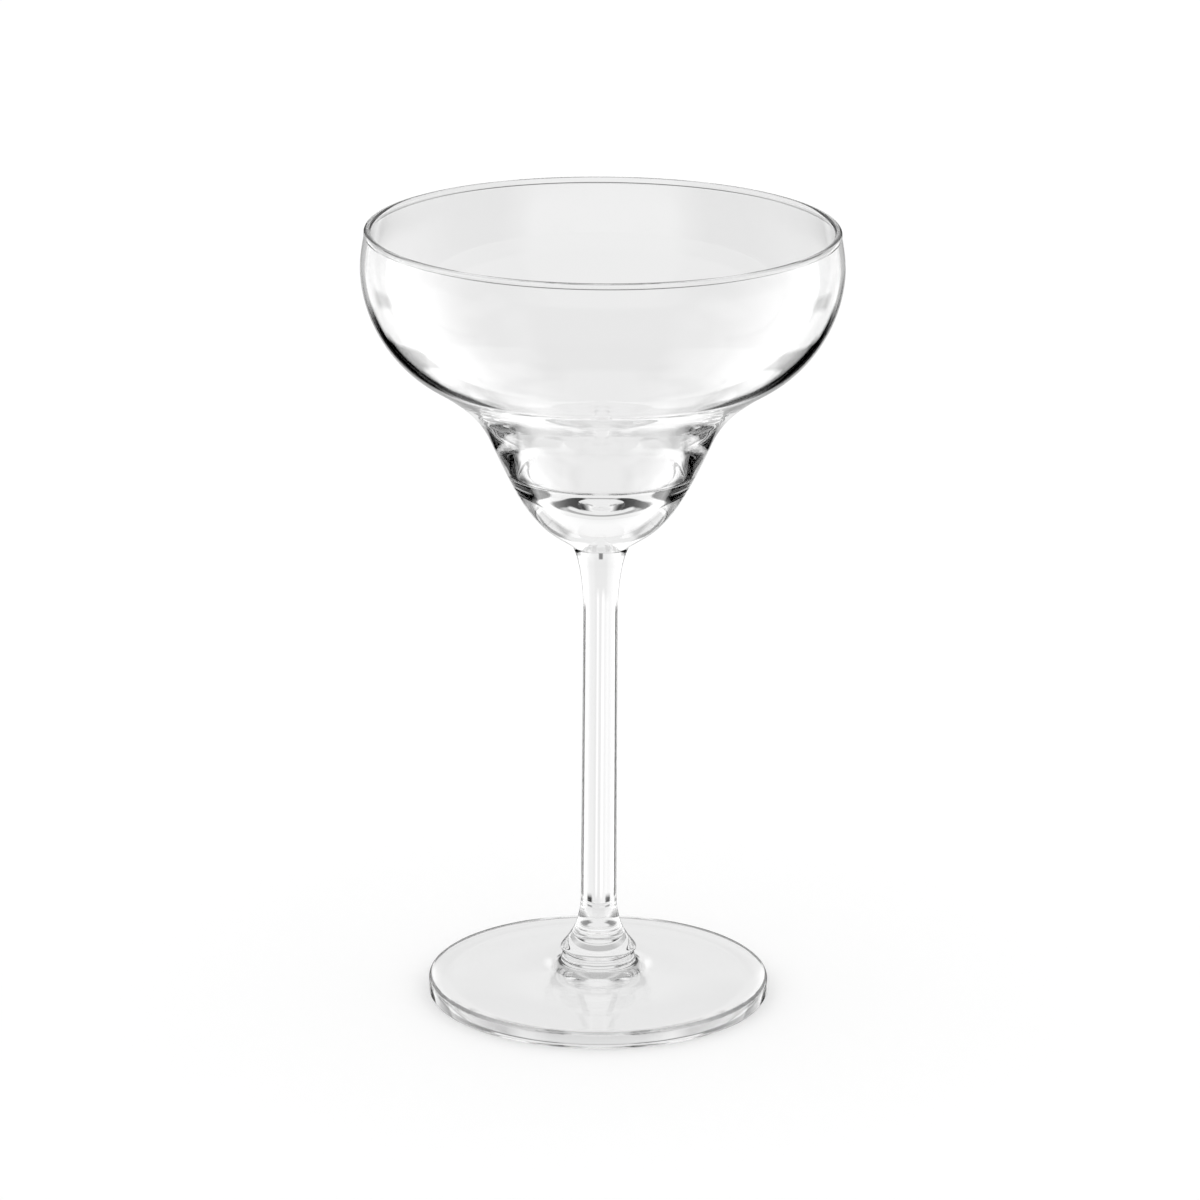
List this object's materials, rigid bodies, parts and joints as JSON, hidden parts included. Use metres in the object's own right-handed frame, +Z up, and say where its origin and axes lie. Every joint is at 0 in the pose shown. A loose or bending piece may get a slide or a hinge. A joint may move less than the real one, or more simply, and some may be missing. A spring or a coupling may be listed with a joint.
{
  "type": "margarita glass",
  "caption": "Clear stemmed glass: a wide saucer over a narrow thick-walled well, on a slim solid stem and a round foot.",
  "frame": {"origin": "centre of the plane that the foot stands on", "axes": "+Z up along the glass's axis of revolution, X and Y alike"},
  "size_m": [0.1032, 0.1032, 0.172],
  "materials": {
    "bowl_glass": "blown, fire-polished, clear",
    "stem_glass": "solid, fire-polished, clear",
    "foot_glass": "pressed, fire-polished, clear"
  },
  "bodies": {
    "root": {"bowl": "bowl_glass", "stem": "stem_glass", "foot": "foot_glass"}
  },
  "joints": []
}
